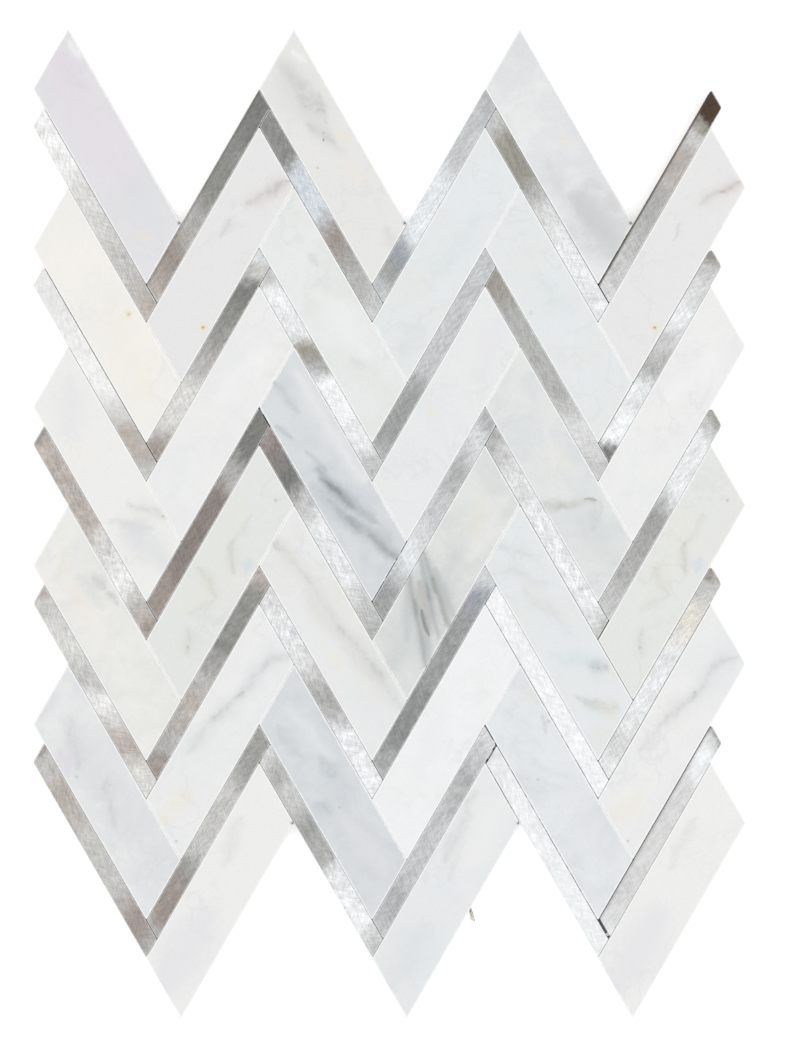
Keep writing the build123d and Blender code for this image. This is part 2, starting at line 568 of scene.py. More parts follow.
# %% [markdown]
# Each arris catches the light, so both materials get a painted highlight along it: a thin broken
# pale line along the sides, which this group gives from the distance that the first group
# measured. Both materials place the two groups in the same way.

# %% Group: painted arris highlight


@group("Painted arris highlight", {"Vector": ORIGIN, "Distance": 1.0, "Width": 0.4, "Seed": 0.0}, {"Mask": "Float"})
def arris_highlight_group(g):
    ragged = noise(g["Vector"] + combined(z=g["Seed"]), 0.7, 3.0, 0.65)
    line = g["Width"] * mapped(ragged, 0.35, 0.7, 0.55, 1.3)
    return [mapped(g["Distance"] / line, 1.0, 0.35)]


def arris_highlight_mask(place, column, bar_width, line_width, seed):
    """The mask of the painted highlight along a bar's arris."""
    sizes = {"Half length": PIECE_LENGTH / 2, "Half width": bar_width / 2, "Slant": -1 if column % 2 else 1}
    distance = use(sides_group, {"Vector": place, **sizes})
    return use(arris_highlight_group, {"Vector": place, **distance, "Width": line_width, "Seed": seed})["Mask"]


# %% [markdown]
# The strips were brushed by hand with an abrasive pad, in strokes that cross each other and curve.
# Three layers of very stretched noise give the strokes, and one layer gives arcs: it reads the angle
# and the distance from a point beside the bar, so that its lines are circles. A plain noise adds the
# mottle left by uneven pressure.

# %% Group: brushed face
ARC_CENTRE = (-12.0, 26.0, 0.0)


def strokes(vector, turn, length, fineness):
    """Fine lines in one direction, as noise stretched along it."""
    turned = put("ShaderNodeMapping", {"Vector": vector, "Rotation": (0, 0, turn)})
    return noise(turned * (1 / length, fineness, 0.3), 1.0, 3.0, 0.6)


BRUSH_INPUTS = {"Vector": ORIGIN, "Seed": 0.0, "Strokes": 1.0, "Mottle": 1.0, "Level": 1.0}


@group("Brushed face", BRUSH_INPUTS, {"Shade": "Float", "Height": "Float"})
def brushed_group(g):
    seeded = g["Vector"] + combined(g["Seed"] * 3.1, 0.0, g["Seed"])
    crossing = strokes(seeded, radians(38), 5.0, 1.7) + strokes(seeded, radians(-46), 4.5, 1.9)
    from_centre = g["Vector"] - ARC_CENTRE
    x, y, _ = split(from_centre)
    rings = combined(calc("LENGTH", from_centre) * 1.8, calc("ARCTAN2", y, x) * 4.0, g["Seed"])
    lengthwise = strokes(seeded, radians(8), 10.0, 1.5) + noise(rings, 1.0, 3.0, 0.6)
    lines = (crossing + lengthwise) * 0.25 - 0.5
    mottle = noise(seeded, 0.42, 4.0, 0.62) - 0.5
    bands = noise(seeded * (1.0, 0.35, 1.0), 0.16) - 0.5
    uneven = (mottle * 0.5 + bands * 0.35) * g["Mottle"]
    return lines * 3.2 * g["Strokes"] + uneven + g["Level"], lines


print("node groups:", ", ".join(sorted(made.name for made in bpy.data.node_groups)))

# %% [markdown]
# ## The marble
#
# The chips come from pale slabs of several sorts, so each has a ground tone and a cloud tone of its
# own, named as a stone yard would. The marks are then drawn on each chip one by one: from where, to
# where, how wide, in what colour and how strong, in millimetres down and across the chip. Some also
# say how far they wander and how broken they are. The last column is cut from the same slabs as the
# second, so it repeats its marks.

# %% Stone tones


def palette(text):
    """Named tones, written as a name and three levels each."""
    return {name: tone(*map(int, levels)) for name, *levels in map(str.split, text.split(","))}


STONE = palette("""lilac 227 225 229, ash 222 223 225, cream 243 240 234, ivory 238 237 233,
    milk 237 237 236, chalk 231 230 230, pearl 232 233 233, snow 240 241 243, frost 228 232 234,
    sage 226 229 226, stone 229 229 225, mist 217 221 223, fog 216 219 217, slate 207 212 217""")
INK = STONE | palette("""grey 176 180 181, blue-grey 152 161 170, dark 104 110 116, black 52 50 48,
    brown 166 154 143, umber 118 106 94, olive 174 172 156, green-grey 146 153 148,
    ochre 216 194 120, honey 238 228 196, peach 240 229 218, violet 216 206 219, mauve 228 219 226,
    white 248 248 248, blue 204 216 228, teal 208 222 222""")

# %% Kinds of mark


def cloud(x, y, to_x, to_y, width, ink, strength, wander=1.3, broken=0.3):
    """A soft patch, as the inputs of one stroke."""
    ends = {"From": (x, y, 0), "To": (to_x, to_y, 0), "Width": width, "Mark color": ink}
    return [{**ends, "Strength": strength, "Wander": wander, "Broken": broken}]


def vein(x, y, to_x, to_y, width, ink, strength, wander=1.0, broken=0.6):
    """A thin broken core in a soft band three times as wide."""
    halo = cloud(x, y, to_x, to_y, 3.4 * width, ink, 0.45 * strength, wander, 0.3)
    return halo + cloud(x, y, to_x, to_y, 1.2 * width, ink, 0.55 * strength, wander, broken)


def line(x, y, to_x, to_y, width, ink, strength):
    """A vein that runs nearly straight and unbroken."""
    halo = cloud(x, y, to_x, to_y, 2.6 * width, ink, 0.4 * strength, 0.3, 0.2)
    return halo + cloud(x, y, to_x, to_y, width, ink, 0.6 * strength, 0.3, 0.25)


def spot(x, y, size, ink, strength):
    """A round fleck."""
    return cloud(x, y, x, y, size, ink, strength, 0.0, 0.1)


KINDS = {"cloud": cloud, "vein": vein, "line": line, "spot": spot}

# %% Marks on each chip
# A row gives the ground, the tone of its clouds and the marks. A mark gives its kind, from, to,
# width, ink and strength, and some also wander and broken. A spot has one place and a size.
# The black spot at 12.2 across near an end of a1, c1, e1, d5 and the second column's fifth chip is painted
# shadow: the dark hole where a nipped corner meets a strip at a notch.
SECOND = [  # the chips of the second column, which the last one repeats
    """chalk chalk, vein -41 9 -33 4 1 brown 0.6, vein -34 4 -24 -1 1.2 brown 0.4,
        cloud -13 -3 -6 -3 1.4 grey 0.3, spot 30 9 3.6 honey 0.8, spot 30 9 2.1 ochre 0.7,
        spot 30 9 1 umber 0.7""",
    """milk pearl, cloud 20 -6 40 0 5 frost 0.3, cloud -30 4 -5 -4 6 white 0.3""",
    """sage stone, spot -38 5 1.3 brown 0.6, vein -13 -1 -3 4 1.1 brown 0.35,
        cloud -28 0 -10 -1 2 brown 0.14, vein 3 -9 8 4 1 brown 0.25, cloud -11 8 -6 9 3 blue 0.7 0.5,
        cloud -30 -6 20 -4 7 honey 0.12, spot 34 4 1.5 green-grey 0.4, vein 27 1 36 5 1.3 olive 0.3,
        cloud 10 4 20 -2 3 olive 0.15""",
    """pearl milk, cloud -46 4 -22 2 9 frost 0.6 0.8 0.1, vein -41 8 -34 2 1.3 green-grey 0.3,
        vein -34 3 -18 0 1.3 grey 0.4, spot -19 0 1.2 dark 0.35, vein -18 0 -3 -5 1.6 grey 0.55,
        vein -3 -5 14 -8 1.4 grey 0.3, cloud 30 2 44 -3 5 honey 0.3, spot 49 7 1 dark 0.5""",
    """milk milk, cloud -32 -7 -10 -6 3 grey 0.2, cloud 12 0 46 0 11 lilac 0.7 0.5 0,
        spot -39.8 12.2 1.5 black 0.85""",
]
CHIPS = {
    "a1": """lilac ash, cloud -44 0 16 2 10 mauve 0.6 0.6 0.1, cloud -46 4 -30 6 6.5 violet 0.3 0.7 0.1,
        cloud -49 11 -43 12 3 white 0.6, cloud 10 2 40 4 7 mist 0.5, cloud 34 -4 40 -3 3.5 honey 0.25,
        spot 39.4 12.2 1.6 black 0.9""",
    "a2": """cream ivory, spot 4 8 3.6 honey 0.9, spot 4.2 8.2 1.9 ochre 0.5,
        spot 4.2 8.2 0.9 brown 0.4, cloud -4 4 36 -3 8 honey 0.16""",
    "a3": """milk ivory, cloud 24 -4 44 2 8 ash 0.8 0.8 0.1, vein 15 2 27 12 1.4 green-grey 0.32,
        spot 27 11.5 1.2 brown 0.6, cloud 18 -8 28 4 3.5 grey 0.25, cloud -44 6 -20 -4 6 lilac 0.5""",
    "a4": """ivory stone, cloud -23 7 -18 9 2.8 blue-grey 0.36 0.8 0.4,
        cloud -15 9 -8 11 2.2 grey 0.5 0.8 0.5, cloud -26 3 -10 4 4 grey 0.2 1.3 0.4,
        cloud -24 -3 -6 -4 4 peach 0.4, cloud -38 0 -28 -6 3 honey 0.2""",
    "a5": """ash pearl, vein -34 1 -14 -7 1.4 grey 0.4, spot -12 -8 1.5 green-grey 0.35,
        vein -5 2 13 -4 1.4 grey 0.45, spot -2 2.5 1.2 dark 0.25, cloud -22 -10 -14 -11 2.6 violet 0.5,
        cloud -30 4 20 4 6 mist 0.4""",
    "c1": """chalk stone, cloud -46 0 -16 0 9 fog 0.5 0.8 0.1, cloud -42 -1 -32 2 4.2 olive 0.28 1 0.4,
        cloud -29 0 -19 5 4.2 olive 0.32 1 0.5, cloud -26 7 -14 5 2 green-grey 0.2 1 0.5,
        cloud -15 -2 -5 4 3.4 olive 0.34 1 0.4, cloud -42 2 0 4 6 grey 0.16 1.3 0.5,
        spot -24 0.5 1.1 dark 0.28, spot -20 4.5 1.1 dark 0.28, spot -10.5 1.5 0.9 umber 0.45,
        cloud -9 7 -2 9 2.4 honey 0.45 0.8, cloud 2 2 14 6 3 peach 0.4, spot -8 0 0.85 black 0.95,
        spot 1 -8 0.85 dark 0.5, cloud 38 4 46 2 4 green-grey 0.16, cloud -46 8 -42 9 2.4 white 0.6,
        spot 39.4 12.2 1.6 black 0.9""",
    "c2": """pearl sage, cloud -25 4 -21 4 1.4 grey 0.3, vein 20 -2 26 1 1 grey 0.25,
        cloud -10 0 20 4 6 white 0.3""",
    "c3": """mist slate, cloud -44 8 8 10 4.5 pearl 0.8 0.7, cloud -46 -2 -30 1 2.4 grey 0.4 0.5,
        spot -46 -2 1.2 dark 0.35, cloud -30 -10.5 -22 -7.5 1.8 blue-grey 0.45 0.5,
        cloud -14 -5.3 -3 -2 1.3 blue-grey 0.3 0.5, cloud 0 -10 26 -3 4.6 blue-grey 0.34 0.6,
        cloud -5 -5 25 5 3.6 blue-grey 0.6 0.8 0.2, cloud -1 -5.4 15 0.6 2.8 dark 0.42 0.8 0.2,
        cloud 1 -4.4 8 -1.6 1.7 dark 0.42 0.8 0.2, cloud 8 -8 24 -2.6 2.2 blue-grey 0.4 0.8,
        cloud 18 -3.6 46 7 3.6 dark 0.36 0.8 0.2, cloud 30 0 45 6.5 2 dark 0.3 0.8 0.3,
        cloud 26 6 36 7 2.6 grey 0.35""",
    "c4": """pearl stone, vein -48 -1 -24 2 1.2 brown 0.25 0.5, cloud -46 -1 -42 0 1.5 grey 0.4,
        vein -26 2 2 4 1.5 olive 0.3 0.5, vein 0 4 26 8 1.7 green-grey 0.3 0.5,
        vein 20 7 48 10 1.7 blue-grey 0.25 0.5, cloud -20 -2 26 3 3.4 brown 0.1,
        cloud 6 -6 12 -7 3 honey 0.3, cloud 20 -6 44 -2 5 frost 0.7""",
    "c5": """mist slate, cloud -16 2 -6 4 3.4 blue-grey 0.3 1 0.5,
        cloud 0 -9 7 -5 3.2 blue-grey 0.32 1 0.5, spot 7 -1 0.9 brown 0.5,
        cloud -34 -6 -20 -4 3 grey 0.3, cloud -40 2 -14 7 4 pearl 0.5, cloud 14 0 40 3 6 lilac 0.5""",
    "d1": """frost sage, cloud 34 6 46 4 5 mist 0.6, cloud -20 4 10 0 6 teal 0.3""",
    "d2": """pearl frost, cloud 0 -8 4 -5 2.5 honey 0.35, cloud -44 0 -20 4 6 lilac 0.4""",
    "d3": """fog sage, cloud -6 0 44 0 11 blue-grey 0.21 0.6 0.1, cloud 2 -12 34 8 8 mist 0.8,
        cloud 12 -12 33 0 2.6 grey 0.4 0.3, cloud 1 -5 14 12 2.6 grey 0.5 0.25,
        cloud 9 -8 24 6 3.2 brown 0.5 0.25 0.2, cloud 24 4 35 12 2.4 grey 0.6 0.25,
        cloud -3 -13 19 9.5 1.3 pearl 0.75 0.25 0, line -6 -16 9 0 1.3 green-grey 0.85,
        line 5 -4 20 14 1.4 green-grey 0.9, line -2 -15 13 -0.5 1.2 dark 0.42,
        line 8 -5 25 11 1.2 dark 0.38, line 5 -16 22 -2 1.3 green-grey 0.8,
        line 17 -5.4 38 12 1.3 green-grey 0.85, cloud 19 -1 26 6.5 1.2 dark 0.75 0.3 0.2,
        cloud -34 -2 -20 2 4 honey 0.25, cloud -40 4 -10 6 5 ivory 0.5""",
    "d4": """snow milk, cloud -10 -6 20 -2 5 frost 0.4""",
    "d5": """frost pearl, cloud -40 -9 -12 -8 3.2 grey 0.28, cloud -22 -4 -4 -2 2 brown 0.12,
        cloud -46 2 -14 2 8 milk 0.7 0.8 0.1, cloud 18 0 46 0 10 slate 0.3 0.5 0,
        spot -39.8 12.2 1.5 black 0.85""",
    "e1": """ash pearl, cloud -8 6 -2 8 3 peach 0.4, cloud 14 5 20 8 3 brown 0.16,
        cloud 17 -3 31 -4 3.6 grey 0.3 1.3 0.5, cloud 23 10 32 11 2.6 brown 0.2 1 0.4,
        cloud 20 0 48 1 11 grey 0.45 0.6 0, cloud 0 -6 16 -6 4 grey 0.2, spot 39.4 12.2 1.6 black 0.9""",
    "e2": """frost sage, cloud -20 0 0 6 5 teal 0.3, cloud -9 -9 -7 -9 1 grey 0.3""",
    "e3": """sage mist, cloud 14 0 32 6 7 mist 0.8 1, cloud 24 -2 44 2 10 grey 0.16 0.8 0.1,
        cloud 7 -13 14 -5 3.2 green-grey 0.34 0.8 0.3, cloud 12 -7 17 6 2.6 olive 0.36 0.8 0.4,
        cloud 15.3 4.6 17.2 7.4 0.9 umber 0.55 0.8 0.3, cloud 18 8 28 2 2.4 grey 0.3 1.3 0.5,
        cloud -10 0 0 6 5 peach 0.3""",
    "e4": """frost sage, vein -46 -8 -34 6 1.6 grey 0.26 1.3, vein -36 -9 -20 6 1.6 grey 0.2 1.3,
        vein -22 -4 4 6 1.6 grey 0.2 1.4, cloud 6 -6 18 6 4 teal 0.6, vein 18 4 23 9 1.2 green-grey 0.5,
        spot 21 7 1.3 green-grey 0.5, cloud 26 -8 34 2 2.4 grey 0.4 1.3 0.5,
        vein 31 -5 40 6 1.3 olive 0.4 1.3, cloud 34 2 42 4 3 honey 0.2""",
    "e5": """frost mist, spot -28 11 1.3 dark 0.4, cloud -31 11 -25 8 1.6 grey 0.4 1 0.5,
        spot -9 -5 1.3 grey 0.5, cloud -44 8 -38 10 3 honey 0.25, cloud 0 4 40 2 7 lilac 0.5""",
}
for number, chip in enumerate(SECOND, start=1):
    CHIPS[f"b{number}"] = CHIPS[f"f{number}"] = chip
CHIPS["f5"] = SECOND[4].rpartition(",")[0]  # its top lies against a strip, so no painted shadow of a corner hole goes on it
print(len(CHIPS), "chips carry", sum(chip.count(",") for chip in CHIPS.values()), "marks")

# %% [markdown]
# The material joins these in order: ground, painted arris highlight, marks. The top is polished, so
# it is smooth with a little orange peel in the reflection; the sides are as the wet saw left them,
# dull, paler and scored along the cut. The object-space normal tells the two apart.

# %% Marble material
POLISH = 0.16
SAWN = 0.62
# The painted highlight along each arris of a chip: its tone, width and share
ARRIS_HIGHLIGHT_TONE = tone(250, 250, 249)
ARRIS_HIGHLIGHT_LINE = 0.75  # millimetres along each arris
ARRIS_HIGHLIGHT_SHARE = 0.7
SAWN_TONE = tone(236, 235, 230)
CLOUDS = {"Clouds": 0.85, "Cloud size": 24.0, "Threads": 0.16}


def stone_material(name, column, cell, seed):
    (ground, clouds), *marks = (entry.split() for entry in CHIPS[name].split(","))
    material = new_material(f"marble_{name}")
    place = bar_coordinates(column, cell)
    tones = {"Tone": STONE[ground], "Cloud tone": STONE[clouds]}
    stone = use(ground_group, {"Vector": place, "Seed": seed * 61.0, **tones, **CLOUDS})
    folds = use(folds_group, {"Vector": place, "Seed": seed * 7.0})
    # A painted highlight along the arris; the same mask also roughens the arris
    edge = arris_highlight_mask(place, column, CHIP_WIDTH, ARRIS_HIGHLIGHT_LINE, seed * 5.0) * ARRIS_HIGHLIGHT_SHARE
    color = mixed(edge, stone["Color"], ARRIS_HIGHLIGHT_TONE)
    for kind, *words in marks:
        for stroke in KINDS[kind](*(INK.get(word) or float(word) for word in words)):
            color = use(mark_group, {"Vector": place, "Color": color, **folds, **stroke})["Color"]

    up = split(put("ShaderNodeTexCoord", take="Normal"))[2]
    sawn = mapped(up, 0.75, 0.35)
    color = mixed(sawn * 0.4, color, SAWN_TONE)
    polish = mapped(noise(place, 0.3), 0.3, 0.7, POLISH - 0.04, POLISH + 0.06)
    roughness = calc("MAXIMUM", polish, calc("MAXIMUM", sawn * SAWN, edge))
    relief = strokes(place, 0.0, 30.0, 3.0) * (sawn * 0.5) + stone["Grain"] * 0.02
    surface(color, roughness, relief, IOR=1.49)
    return material


# %% [markdown]
# ## The brushed aluminium
#
# Bare aluminium takes its brightness from what it mirrors. On a hand-brushed strip the strokes turn
# a little from place to place, so it is white here and dark there, with soft borders and now and
# then a sudden one. In flat studio light those borders wouldn't show by themselves, so each strip
# has a run of named tones along it, a painted reflection, lighter and darker, written in percent of
# its length from the upper end, and a Color Ramp puts them on. The strokes and the mottle then play
# over it.

# %% Metal tones, for painted reflections, highlight and shade
METAL = palette("""white 238 240 241, bright 230 232 233, pale 216 217 216, silver 199 200 199,
    mid 181 181 180, grey 163 164 162, dusk 147 148 146, dark 129 130 128, slate 158 162 167,
    blue 212 218 223, beige 224 221 212, taupe 186 180 175, brown 160 152 147, mocha 142 135 131,
    olive 158 155 146, umber 84 70 60""")
PAINTED_REFLECTIONS = {
    "a1": "0 white, 20 white, 45 pale, 75 silver, 100 taupe",
    "a2": "0 bright, 55 white, 70 pale, 80 taupe, 92 taupe, 100 silver",
    "a3": "0 brown, 5 taupe, 46 taupe, 55 pale, 74 bright, 84 silver, 93 taupe, 100 brown",
    "a4": "0 taupe, 5 silver, 20 pale, 45 silver, 55 bright, 78 taupe, 92 pale, 100 pale",
    "a5": "0 brown, 4 silver, 20 taupe, 50 silver, 65 silver, 88 brown, 100 mid",
    "b1": "0 dark, 12 dark, 30 dusk, 46 dusk, 65 mid, 82 brown, 100 taupe",
    "b2": "0 blue, 6 silver, 17 dark, 32 dusk, 56 mid, 70 pale, 82 pale, 100 brown",
    "b3": "0 dark, 16 dark, 30 mid, 42 mocha, 76 mocha, 88 brown, 100 brown",
    "b4": "0 taupe, 12 dusk, 35 dusk, 54 mid, 65 taupe, 85 mid, 100 brown",
    "b5": "0 grey, 18 grey, 31 silver, 57 silver, 68 grey, 80 brown, 92 brown, 100 mid",
    "c1": "0 dusk, 20 dusk, 28 blue, 45 blue, 62 brown, 80 mid, 100 silver",
    "c2": "0 silver, 10 white, 28 bright, 38 olive, 47 mid, 54 white, 85 bright, 96 silver",
    "c3": "0 brown, 8 mocha, 22 dark, 36 silver, 47 bright, 72 bright, 90 silver, 100 mid",
    "c4": "0 pale, 20 bright, 36 pale, 50 mid, 60 mid, 72 bright, 100 white",
    "c5": "0 pale, 12 mid, 22 silver, 40 grey, 54 mid, 62 bright, 85 white, 100 silver",
    "d1": "0 mid, 12 silver, 30 silver, 46 bright, 68 bright, 80 slate, 88 grey, 100 silver",
    "d2": "0 silver, 55 silver, 72 grey, 90 grey, 100 mid",
    "d3": "0 mid, 12 pale, 29 mid, 44 silver, 62 pale, 72 bright, 82 silver, 90 grey, 100 grey",
    "d4": "0 pale, 12 slate, 24 grey, 84 dusk, 100 mid",
    "d5": "0 pale, 10 silver, 24 mid, 45 silver, 70 silver, 86 mid, 100 silver",
    "e1": "0 silver, 14 olive, 30 olive, 38 mid, 48 pale, 64 bright, 100 bright",
    "e2": "0 olive, 25 mid, 56 mid, 80 pale, 100 silver",
    "e3": "0 mid, 16 pale, 45 bright, 90 bright, 100 silver",
    "e4": "0 white, 100 white",
    "e5": "0 bright, 25 white, 100 white",
    "f1": "0 umber, 9 umber, 14 olive, 20 silver, 30 taupe, 60 mid, 85 silver, 100 pale",
    "f2": "0 brown, 6 silver, 14 pale, 32 bright, 44 silver, 57 mid, 69 bright, 92 white, 100 dark",
    "f3": "0 olive, 6 silver, 14 bright, 36 bright, 53 grey, 75 mid, 100 silver",
    "f4": "0 brown, 6 silver, 22 beige, 45 bright, 70 bright, 88 pale, 100 bright",
    "f5": "0 grey, 3 pale, 8 white, 18 white, 27 pale, 88 pale, 100 bright",
}
MOTTLED = ("b4", "c4", "d4", "e3", "a3", "c5")  # strips that were brushed more roughly than the rest
CALM = ("e4", "e5", "a2", "f5")  # and more finely
CASTS = {"a": 0.018, "b": 0.018, "d": -0.018}  # columns whose painted reflection is tinted warm or cool
SHADED_RIMS = {"f1": 0.85, "b1": 0.35, "f5": 0.3}  # painted shade, dark brown, along the free upper side of these strips

# %% Aluminium material
METAL_LEVEL = 0.92  # what the light adds to a mirror is taken off here
BRIGHTEST = 0.97
FRAY = 9.0  # millimetres by which noise moves the border of two tones
BORDER_SLANTS = -0.45, 0.35
# The painted highlight along each arris of a strip: its width and share
METAL_HIGHLIGHT_LINE = 0.4
METAL_HIGHLIGHT_SHARE = 0.5
RIM_SHADE_SPAN = 0.2, 1.4  # millimetres from the upper side, whole and faded


def metal_material(name, column, cell, seed):
    material = new_material(f"aluminium_{name}")
    place = bar_coordinates(column, cell)
    down, across, _ = split(place)
    fray = (noise(place + (seed * 13.0, 0, seed), 0.35, 3.0, 0.6) - 0.5) * FRAY
    share = (down + fray + across * BORDER_SLANTS[seed % 2]) / PIECE_LENGTH + 0.5
    # The painted reflection: tones along the strip, through a Color Ramp
    reflection_ramp = put("ShaderNodeValToRGB", {0: share}, take=None)
    reflection_ramp.color_ramp.interpolation = "EASE"
    points = reflection_ramp.color_ramp.elements
    cast = CASTS.get(name[0], 0.0)
    for number, (percent, metal) in enumerate(map(str.split, PAINTED_REFLECTIONS[name].split(","))):
        stop = points[number] if number < 2 else points.new(int(percent) / 100)
        stop.position = int(percent) / 100
        stop.color = [value * (1 + way * cast) for value, way in zip(METAL[metal], (1, 0, -1, 0))]

    pad = {"Strokes": 0.3 if name in CALM else 0.52, "Mottle": 0.9 if name in MOTTLED else 0.45}
    brushed = use(brushed_group, {"Vector": place, "Seed": seed * 11.0, "Level": METAL_LEVEL, **pad})
    shade = brushed["Shade"]
    color = calc("MINIMUM", Value(reflection_ramp.outputs[0]) * shade, (BRIGHTEST,) * 3)
    # A painted highlight along the arris, in the bright tone
    edge = arris_highlight_mask(place, column, STRIP_WIDTH, METAL_HIGHLIGHT_LINE, seed * 3.0)
    color = mixed(edge * METAL_HIGHLIGHT_SHARE, color, METAL["bright"])
    # Painted shade, dark brown, along the free upper side
    if name in SHADED_RIMS:
        rim_shade = mapped(across + STRIP_WIDTH / 2, RIM_SHADE_SPAN[1], RIM_SHADE_SPAN[0])
        color = mixed(rim_shade * SHADED_RIMS[name], color, METAL["umber"])
    roughness = mapped(shade, 0.7, 1.3, 0.5, 0.34)
    surface(color, roughness, brushed["Height"], strength=0.35, relief=0.12, Metallic=1.0)
    return material


# %% [markdown]
# ## Cutting and laying the bars
#
# One call of the tree makes one bar. The stones are pushed together by hand until they touch here
# and there, so a chip is drawn a touch wider than its solid, and its joint closes to a line that the
# painted arris highlight makes pale.
# Metal doesn't close up like that: a dark line stays beside a strip, and as no strip lies quite in
# the middle of its gap, the line is wider on one side. A few pieces also slipped lengthwise while the
# glue was wet. The ends of the strips that stick out at the sides of the sheet were rounded on a
# grinder, each a little differently.

# %% Bars
CHIP_SWELL = 0.195  # millimetres that a chip gains on each side
STRIP_END_SWELL = 0.1
JOINTS = {  # the gap above and below each strip, in hundredths of a millimetre
    "a": ((13, 6), (22, 10), (8, 4), (10, 7), (11, 4)),
    "b": ((6, 4), (8, 4), (6, 4), (6, 4), (8, 4)),
    "c": ((5, 15), (10, 10), (8, 12), (9, 7), (6, 13)),
    "d": ((10, 5), (9, 5), (5, 8), (5, 4), (6, 4)),
    "e": ((16, 10), (4, 7), (6, 14), (6, 17), (20, 24)),
    "f": ((25, 4), (18, 7), (11, 4), (15, 17), (28, 9)),
}
SLIPPED = {  # the end of a piece that lies further back, and by how many millimetres
    "stone_c3": ("last", 0.25), "stone_f3": ("last", 0.2), "strip_b3": ("first", 0.3),
    "strip_d5": ("first", 0.3), "strip_e3": ("last", 0.25), "strip_e5": ("first", 0.6),
    "strip_f1": ("last", 0.12), "strip_f5": ("last", 0.85),
}
LEFT_ROUND = 1.2, 1.0, 1.8, 3.0, 1.2  # the strips' outer corners, from the top
RIGHT_ROUND = 1.9, 2.8, 3.0, 3.0, 1.6
TOP_ROUND = {"f1": 0.8, "f2": 1.1, "f3": 1.2, "f4": 1.1, "f5": 0.8}
OUTER_REACH = 0.3  # and how far those ends stick out further
SHARP_NIP = 0.35
BLUNT_NIP = 0.6
SIDE_NIP = 1.4  # the corners of chips at the sides of the sheet
ENDS = "first", "last"
LONG_SIDES = "upper", "lower"


def corner_points(column, cell, swell):
    """The four corners of a bar, in the order top, left, bottom, right."""
    u, w, u_size, w_size = cell
    sides = LONG_SIDES + ENDS if column % 2 else ENDS + LONG_SIDES
    grown = [(swell[side] - JOINT / 2) / END_SINE for side in sides]
    near_u, far_u = u - grown[0], u + u_size + grown[1]
    near_w, far_w = w - grown[2], w + w_size + grown[3]
    return [point(near_u, near_w), point(near_u, far_w), point(far_u, far_w), point(far_u, near_w)]


def bar(name, column, cell, material, swell, radii, seed, sizes):
    """One bar, cut by the tree."""
    values = {"Material": material, "Seed": seed * 31.0, "Arris": 0.2, "Wobble": 0.02, **sizes}
    end, slip = SLIPPED.get(name, ("last", 0.0))
    corners = corner_points(column, cell, {**swell, end: swell[end] - slip})
    for title, place, radius in zip(CORNERS, corners, radii):
        values |= {f"{title} corner": (*place, 0.0), f"{title} radius": radius}
    return grow(name, bar_tree, values)


STONE_SIZES = {"Flake size": 0.35, "Flake share": 0.34}
METAL_SIZES = {"Flake size": 0.08, "Flake share": 0.3}
triangles = 0
for column, letter in enumerate(COLUMNS):
    at_left, at_right = column == 0, column == len(COLUMNS) - 1
    for number, (chip_cell, strip_cell) in enumerate(zip(*cells(column))):
        name = f"{letter}{number + 1}"
        seed = column * COURSES + number + 1
        left, right = (SIDE_NIP if at_side else BLUNT_NIP for at_side in (at_left, at_right))
        swell = dict.fromkeys(ENDS + LONG_SIDES, CHIP_SWELL)
        material = stone_material(name, column, chip_cell, seed)
        radii = SHARP_NIP, left, SHARP_NIP, right
        chip = bar(f"stone_{name}", column, chip_cell, material, swell, radii, seed, STONE_SIZES)
        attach(chip, "root")
        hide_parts(f"marble_chip_{name}")

        left = LEFT_ROUND[number] if at_left else BLUNT_NIP
        right = RIGHT_ROUND[number] if at_right else BLUNT_NIP
        above, below = (JOINT - CHIP_SWELL - gap / 100 for gap in JOINTS[letter][number])
        first = OUTER_REACH if at_left or at_right else STRIP_END_SWELL
        swell = {"upper": above, "lower": below, "first": first, "last": STRIP_END_SWELL}
        seed += len(CHIPS)
        material = metal_material(name, column, strip_cell, seed)
        radii = TOP_ROUND.get(name, SHARP_NIP), left, SHARP_NIP, right
        strip = bar(f"strip_{name}", column, strip_cell, material, swell, radii, seed, METAL_SIZES)
        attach(strip, "root")
        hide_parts(f"aluminium_strips_{letter}")
        triangles += triangle_count(chip, strip)
print("sixty bars,", triangles, "triangles")

# %% [markdown]
# ## The glass net
#
# The net is coated glass fibre: flat yarns five millimetres apart both ways, woven over and under.
# Weaving follows a rule, so it is a tree. Its input is the plan to which the net was cut. Rows of
# points run up and across, Raycast keeps those that have the plan below them, two cosines multiplied
# make each yarn rise over one neighbour and dip under the next, and Curve to Mesh gives each line
# its flat section.

# %% The plan of the net
NET_PITCH = 5.0
NET_MARGIN = 3.0
WARP_WIDTH = 0.9
WEFT_WIDTH = 1.2


def net_corners():
    """The teeth of the sheet's outline, with straight sides, from the first tooth clockwise."""
    corners = []
    for pair in range(PAIRS):
        across = pair * LENGTH_PITCH
        corners += [point(across, -across), point(across + LENGTH_PITCH, -across)]
    right = PAIRS * LENGTH_PITCH
    corners += [point(right, CHIP_PITCH - right), point(right + DEPTH, DEPTH + CHIP_PITCH - right)]
    for pair in reversed(range(PAIRS)):
        across = pair * LENGTH_PITCH
        corners += [point(across + DEPTH + more, DEPTH - across) for more in (LENGTH_PITCH, 0.0)]
    return [Vector(corner) for corner in corners]


def inset(corners, margin):
    """A clockwise outline moved inwards by a margin."""
    moved = []
    for number, corner in enumerate(corners):
        before = (corner - corners[number - 1]).normalized()
        after = (corners[(number + 1) % len(corners)] - corner).normalized()
        inward_before, inward_after = Vector((before.y, -before.x)), Vector((after.y, -after.x))
        both = inward_before + inward_after
        moved.append(corner + both * margin / (1 + inward_before.dot(inward_after)))
    return moved


